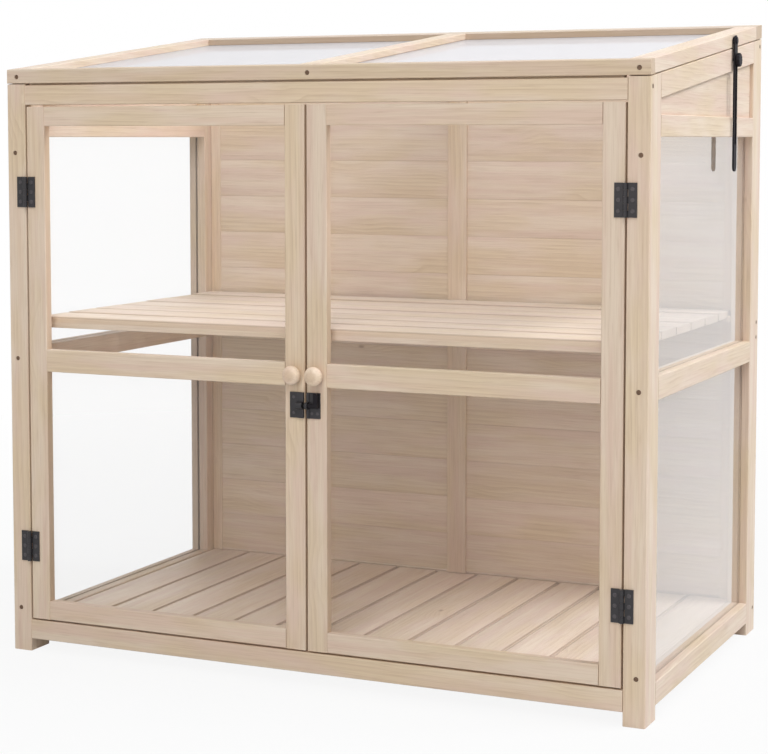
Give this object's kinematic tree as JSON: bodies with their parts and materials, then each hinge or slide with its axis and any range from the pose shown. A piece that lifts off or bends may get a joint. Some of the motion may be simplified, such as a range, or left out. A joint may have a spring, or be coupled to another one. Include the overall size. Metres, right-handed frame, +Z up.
{
  "type": "wooden mini greenhouse",
  "caption": "Two-tier wooden growing cabinet with clear panes, hinged double doors, a slatted shelf and floor, and a sloping glazed lid on a slotted stay.",
  "frame": {"origin": "centre of the object's box on the ground under the feet", "axes": "+X along the front to the right as seen from the doors, +Y from the doors to the back, +Z up"},
  "size_m": [0.9106, 0.5556, 0.8597],
  "materials": {
    "pine": "planed, bare",
    "turned_pine": "turned, sanded",
    "clear_sheet": "clear, glossy",
    "black_steel": "satin black"
  },
  "bodies": {
    "cabinet": {"front_left_post": "pine", "front_right_post": "pine", "rear_left_post": "pine", "rear_right_post": "pine", "front_header": "pine", "front_bottom_rail": "pine", "rear_top_rail": "pine", "rear_bottom_rail": "pine", "back_panel": "pine", "floor_deck": "pine", "shelf_deck": "pine", "left_bottom_rail": "pine", "left_mid_rail": "pine", "left_top_rail": "pine", "left_gable_board": "pine", "left_lower_side_pane": "clear_sheet", "left_upper_side_pane": "clear_sheet", "right_bottom_rail": "pine", "right_mid_rail": "pine", "right_top_rail": "pine", "right_gable_board": "pine", "right_lower_side_pane": "clear_sheet", "right_upper_side_pane": "clear_sheet", "left_upper_hinge_frame_leaf": "black_steel", "left_lower_hinge_frame_leaf": "black_steel", "right_upper_hinge_frame_leaf": "black_steel", "right_lower_hinge_frame_leaf": "black_steel", "lid_left_hinge_frame_leaf": "black_steel", "lid_right_hinge_frame_leaf": "black_steel"},
    "left_door": {"left_door_hinge_stile": "pine", "left_door_meeting_stile": "pine", "left_door_top_rail": "pine", "left_door_mid_rail": "pine", "left_door_bottom_rail": "pine", "left_door_pane": "clear_sheet", "left_door_knob": "turned_pine", "left_upper_hinge_door_leaf": "black_steel", "left_lower_hinge_door_leaf": "black_steel", "latch_keeper": "black_steel"},
    "right_door": {"right_door_hinge_stile": "pine", "right_door_meeting_stile": "pine", "right_door_top_rail": "pine", "right_door_mid_rail": "pine", "right_door_bottom_rail": "pine", "right_door_pane": "clear_sheet", "right_door_knob": "turned_pine", "right_upper_hinge_door_leaf": "black_steel", "right_lower_hinge_door_leaf": "black_steel", "latch_body": "black_steel"},
    "bolt": {"latch_bolt": "black_steel"},
    "lid": {"lid_front_rail": "pine", "lid_rear_rail": "pine", "lid_left_rail": "pine", "lid_right_rail": "pine", "lid_centre_bar": "pine", "lid_pane": "clear_sheet", "lid_left_hinge_lid_leaf": "black_steel", "lid_right_hinge_lid_leaf": "black_steel"},
    "stay": {"stay_bar": "black_steel"},
    "clamp_knob": {"stay_clamp_knob": "black_steel"}
  },
  "joints": [
    {"name": "left_door_hinge", "type": "hinge", "parent": "cabinet", "child": "left_door", "pos_m": [-0.42605, -0.2618, 0.3875], "axis": [0, 0, -1], "range_deg": [0, 170]},
    {"name": "right_door_hinge", "type": "hinge", "parent": "cabinet", "child": "right_door", "pos_m": [0.41545, -0.2618, 0.3875], "axis": [0, 0, 1], "range_deg": [0, 170]},
    {"name": "bolt_slide", "type": "slide", "parent": "right_door", "child": "bolt", "axis": [-1, 0, 0], "range_m": [0, 0.007]},
    {"name": "lid_hinge", "type": "hinge", "parent": "cabinet", "child": "lid", "pos_m": [-0.0053, 0.2748, 0.84059], "axis": [-1, 0, 0], "range_deg": [0, 38]},
    {"name": "stay_pivot", "type": "hinge", "parent": "lid", "child": "stay", "pos_m": [0.4447, 0.1155, 0.83095], "axis": [1, 0, 0], "range_deg": [0, 26.6]},
    {"name": "clamp_knob_turn", "type": "hinge", "parent": "cabinet", "child": "clamp_knob", "pos_m": [0.4447, 0.1155, 0.80542], "axis": [1, 0, 0], "continuous": true}
  ],
  "couplings": [
    {"joint": "stay_pivot", "follows": "lid_hinge", "ratio": 0.699}
  ]
}
